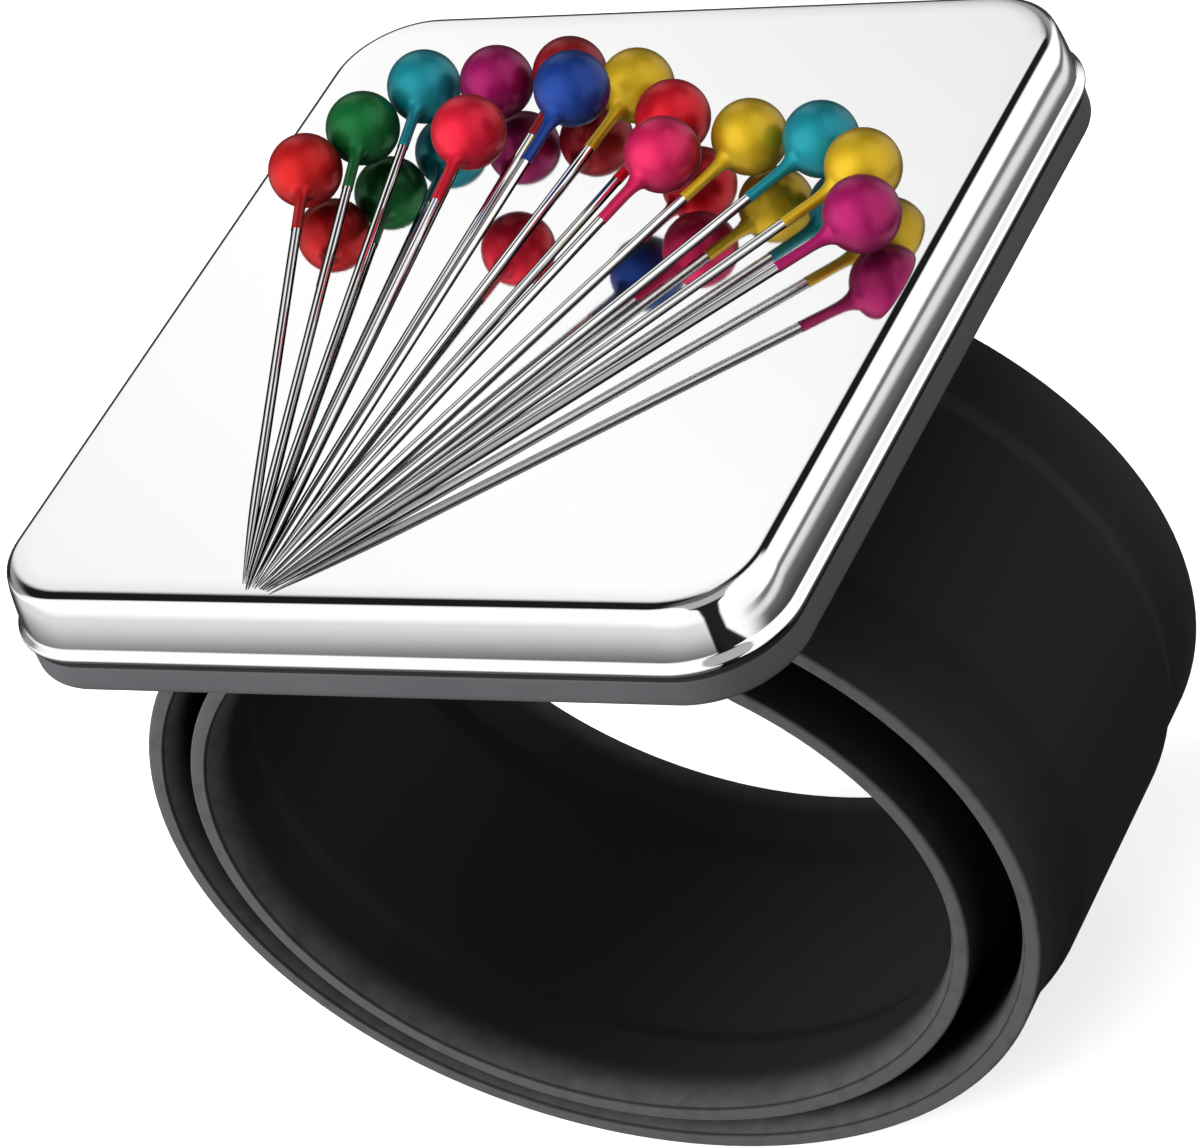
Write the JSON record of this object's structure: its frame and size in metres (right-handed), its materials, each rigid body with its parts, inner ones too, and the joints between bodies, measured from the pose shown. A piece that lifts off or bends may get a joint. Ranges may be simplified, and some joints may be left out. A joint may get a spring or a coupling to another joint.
{
  "type": "magnetic pin wristband",
  "caption": "Square magnetic plate on a coiling snap band for the wrist, holding a fan of pearl-headed dressmaking pins on its polished top.",
  "frame": {"origin": "on the wrist's axis, under the middle of the plate", "axes": "+Z out of the plate's polished face, Y along the wrist, X across the plate from the coil's loose side to its lapped side"},
  "size_m": [0.0528, 0.05, 0.0587],
  "materials": {
    "polished_steel": "mirror polished",
    "tray_plastic": "matt",
    "keeper_steel": "plain",
    "magnet_nickel": "nickel plated",
    "pad_rubber": "matt",
    "silicone": "matt",
    "spring_steel": "blued grey",
    "pin_steel": "bright",
    "pearl_red_left": "pearl lacquer",
    "pearl_green": "pearl lacquer",
    "pearl_teal": "pearl lacquer",
    "pearl_magenta": "pearl lacquer",
    "pearl_rose": "pearl lacquer",
    "pearl_crimson": "pearl lacquer",
    "pearl_yellow": "pearl lacquer",
    "pearl_blue": "pearl lacquer",
    "pearl_red_middle": "pearl lacquer",
    "pearl_pink": "pearl lacquer",
    "pearl_purple": "pearl lacquer"
  },
  "bodies": {
    "wristband_base": {"steel_cover": "polished_steel", "base_tray": "tray_plastic", "keeper_plate": "keeper_steel", "magnet_left": "magnet_nickel", "magnet_right": "magnet_nickel", "saddle_pad": "pad_rubber", "band_root_sleeve": "silicone", "band_root_spring": "spring_steel"},
    "outer_arm_1": {"outer_arm_1_sleeve": "silicone", "outer_arm_1_spring": "spring_steel"},
    "outer_arm_2": {"outer_arm_2_sleeve": "silicone", "outer_arm_2_spring": "spring_steel"},
    "outer_arm_3": {"outer_arm_3_sleeve": "silicone", "outer_arm_3_spring": "spring_steel"},
    "outer_arm_4": {"outer_arm_4_sleeve": "silicone", "outer_arm_4_spring": "spring_steel"},
    "outer_arm_5": {"outer_arm_5_sleeve": "silicone", "outer_arm_5_spring": "spring_steel"},
    "outer_arm_6": {"outer_arm_6_sleeve": "silicone", "outer_arm_6_spring": "spring_steel"},
    "inner_arm_1": {"inner_arm_1_sleeve": "silicone", "inner_arm_1_spring": "spring_steel"},
    "inner_arm_2": {"inner_arm_2_sleeve": "silicone", "inner_arm_2_spring": "spring_steel"},
    "inner_arm_3": {"inner_arm_3_sleeve": "silicone", "inner_arm_3_spring": "spring_steel"},
    "inner_arm_4": {"inner_arm_4_sleeve": "silicone", "inner_arm_4_spring": "spring_steel"},
    "inner_arm_5": {"inner_arm_5_sleeve": "silicone", "inner_arm_5_spring": "spring_steel"},
    "inner_arm_6": {"inner_arm_6_sleeve": "silicone", "inner_arm_6_spring": "spring_steel"},
    "pin_red_left": {"pin_red_left_shaft": "pin_steel", "pin_red_left_head": "pearl_red_left"},
    "pin_green": {"pin_green_shaft": "pin_steel", "pin_green_head": "pearl_green"},
    "pin_teal_left": {"pin_teal_left_shaft": "pin_steel", "pin_teal_left_head": "pearl_teal"},
    "pin_magenta": {"pin_magenta_shaft": "pin_steel", "pin_magenta_head": "pearl_magenta"},
    "pin_rose": {"pin_rose_shaft": "pin_steel", "pin_rose_head": "pearl_rose"},
    "pin_crimson": {"pin_crimson_shaft": "pin_steel", "pin_crimson_head": "pearl_crimson"},
    "pin_yellow_left": {"pin_yellow_left_shaft": "pin_steel", "pin_yellow_left_head": "pearl_yellow"},
    "pin_blue": {"pin_blue_shaft": "pin_steel", "pin_blue_head": "pearl_blue"},
    "pin_red_middle": {"pin_red_middle_shaft": "pin_steel", "pin_red_middle_head": "pearl_red_middle"},
    "pin_pink": {"pin_pink_shaft": "pin_steel", "pin_pink_head": "pearl_pink"},
    "pin_yellow_middle": {"pin_yellow_middle_shaft": "pin_steel", "pin_yellow_middle_head": "pearl_yellow"},
    "pin_teal_right": {"pin_teal_right_shaft": "pin_steel", "pin_teal_right_head": "pearl_teal"},
    "pin_yellow_right": {"pin_yellow_right_shaft": "pin_steel", "pin_yellow_right_head": "pearl_yellow"},
    "pin_purple": {"pin_purple_shaft": "pin_steel", "pin_purple_head": "pearl_purple"}
  },
  "joints": [
    {"name": "outer_arm_1_hinge", "type": "hinge", "parent": "wristband_base", "child": "outer_arm_1", "pos_m": [0.00739, 0, 0.02039], "axis": [0, -1, 0], "range_deg": [0, 28.27], "stiffness_Nm_per_rad": 0.03, "springref_deg": -17.19},
    {"name": "outer_arm_2_hinge", "type": "hinge", "parent": "outer_arm_1", "child": "outer_arm_2", "pos_m": [0.02237, 0, 0.00771], "axis": [0, -1, 0], "range_deg": [0, 56.27]},
    {"name": "outer_arm_3_hinge", "type": "hinge", "parent": "outer_arm_2", "child": "outer_arm_3", "pos_m": [0.0202, 0, -0.01142], "axis": [0, -1, 0], "range_deg": [0, 53]},
    {"name": "outer_arm_4_hinge", "type": "hinge", "parent": "outer_arm_3", "child": "outer_arm_4", "pos_m": [0.00322, 0, -0.02145], "axis": [0, -1, 0], "range_deg": [0, 38.83]},
    {"name": "outer_arm_5_hinge", "type": "hinge", "parent": "outer_arm_4", "child": "outer_arm_5", "pos_m": [-0.01643, 0, -0.01862], "axis": [0, -1, 0], "range_deg": [0, 43.44]},
    {"name": "outer_arm_6_hinge", "type": "hinge", "parent": "outer_arm_5", "child": "outer_arm_6", "pos_m": [-0.02855, 0, -0.00333], "axis": [0, -1, 0], "range_deg": [0, 58.5]},
    {"name": "inner_arm_1_hinge", "type": "hinge", "parent": "wristband_base", "child": "inner_arm_1", "pos_m": [-0.00738, 0, 0.02156], "axis": [0, 1, 0], "range_deg": [0, 19.8]},
    {"name": "inner_arm_2_hinge", "type": "hinge", "parent": "inner_arm_1", "child": "inner_arm_2", "pos_m": [-0.02299, 0, 0.00993], "axis": [0, 1, 0], "range_deg": [0, 39.99]},
    {"name": "inner_arm_3_hinge", "type": "hinge", "parent": "inner_arm_2", "child": "inner_arm_3", "pos_m": [-0.0241, 0, -0.00882], "axis": [0, 1, 0], "range_deg": [0, 47.6]},
    {"name": "inner_arm_4_hinge", "type": "hinge", "parent": "inner_arm_3", "child": "inner_arm_4", "pos_m": [-0.00812, 0, -0.01958], "axis": [0, 1, 0], "range_deg": [0, 35.95]},
    {"name": "inner_arm_5_hinge", "type": "hinge", "parent": "inner_arm_4", "child": "inner_arm_5", "pos_m": [0.01095, 0, -0.0159], "axis": [0, 1, 0], "range_deg": [0, 41.4]},
    {"name": "inner_arm_6_hinge", "type": "hinge", "parent": "inner_arm_5", "child": "inner_arm_6", "pos_m": [0.01961, 0, 0.00082], "axis": [0, 1, 0], "range_deg": [0, 54.44]},
    {"name": "red_left_lift", "type": "slide", "parent": "wristband_base", "child": "pin_red_left", "axis": [0, 0, 1], "range_m": [0, 0.028]},
    {"name": "green_lift", "type": "slide", "parent": "wristband_base", "child": "pin_green", "axis": [0, 0, 1], "range_m": [0, 0.028]},
    {"name": "teal_left_draw", "type": "slide", "parent": "wristband_base", "child": "pin_teal_left", "axis": [-0.181, 0.982, 0.055], "range_m": [0, 0.042]},
    {"name": "magenta_draw", "type": "slide", "parent": "wristband_base", "child": "pin_magenta", "axis": [-0.0699, 0.996, 0.0556], "range_m": [0, 0.042]},
    {"name": "rose_lift", "type": "slide", "parent": "wristband_base", "child": "pin_rose", "axis": [0, 0, 1], "range_m": [0, 0.028]},
    {"name": "crimson_draw", "type": "slide", "parent": "wristband_base", "child": "pin_crimson", "axis": [0.0372, 0.9978, 0.0548], "range_m": [0, 0.042]},
    {"name": "yellow_left_draw", "type": "slide", "parent": "wristband_base", "child": "pin_yellow_left", "axis": [0.156, 0.9862, 0.056], "range_m": [0, 0.042]},
    {"name": "blue_lift", "type": "slide", "parent": "wristband_base", "child": "pin_blue", "axis": [0, 0, 1], "range_m": [0, 0.028]},
    {"name": "red_middle_lift", "type": "slide", "parent": "wristband_base", "child": "pin_red_middle", "axis": [0, 0, 1], "range_m": [0, 0.028]},
    {"name": "pink_lift", "type": "slide", "parent": "wristband_base", "child": "pin_pink", "axis": [0, 0, 1], "range_m": [0, 0.028]},
    {"name": "yellow_middle_draw", "type": "slide", "parent": "wristband_base", "child": "pin_yellow_middle", "axis": [0.3991, 0.915, 0.0593], "range_m": [0, 0.042]},
    {"name": "teal_right_draw", "type": "slide", "parent": "wristband_base", "child": "pin_teal_right", "axis": [0.4926, 0.8684, 0.0567], "range_m": [0, 0.042]},
    {"name": "yellow_right_draw", "type": "slide", "parent": "wristband_base", "child": "pin_yellow_right", "axis": [0.5827, 0.8107, 0.057], "range_m": [0, 0.042]},
    {"name": "purple_lift", "type": "slide", "parent": "wristband_base", "child": "pin_purple", "axis": [0, 0, 1], "range_m": [0, 0.028]}
  ],
  "couplings": [
    {"joint": "outer_arm_2_hinge", "follows": "outer_arm_1_hinge", "ratio": 1.9887},
    {"joint": "outer_arm_3_hinge", "follows": "outer_arm_1_hinge", "ratio": 1.873},
    {"joint": "outer_arm_4_hinge", "follows": "outer_arm_1_hinge", "ratio": 1.3718},
    {"joint": "outer_arm_5_hinge", "follows": "outer_arm_1_hinge", "ratio": 1.5348},
    {"joint": "outer_arm_6_hinge", "follows": "outer_arm_1_hinge", "ratio": 2.0676},
    {"joint": "inner_arm_1_hinge", "follows": "outer_arm_1_hinge", "ratio": 0.69869},
    {"joint": "inner_arm_2_hinge", "follows": "outer_arm_1_hinge", "ratio": 1.4127},
    {"joint": "inner_arm_3_hinge", "follows": "outer_arm_1_hinge", "ratio": 1.6821},
    {"joint": "inner_arm_4_hinge", "follows": "outer_arm_1_hinge", "ratio": 1.2698},
    {"joint": "inner_arm_5_hinge", "follows": "outer_arm_1_hinge", "ratio": 1.4627},
    {"joint": "inner_arm_6_hinge", "follows": "outer_arm_1_hinge", "ratio": 1.924}
  ]
}
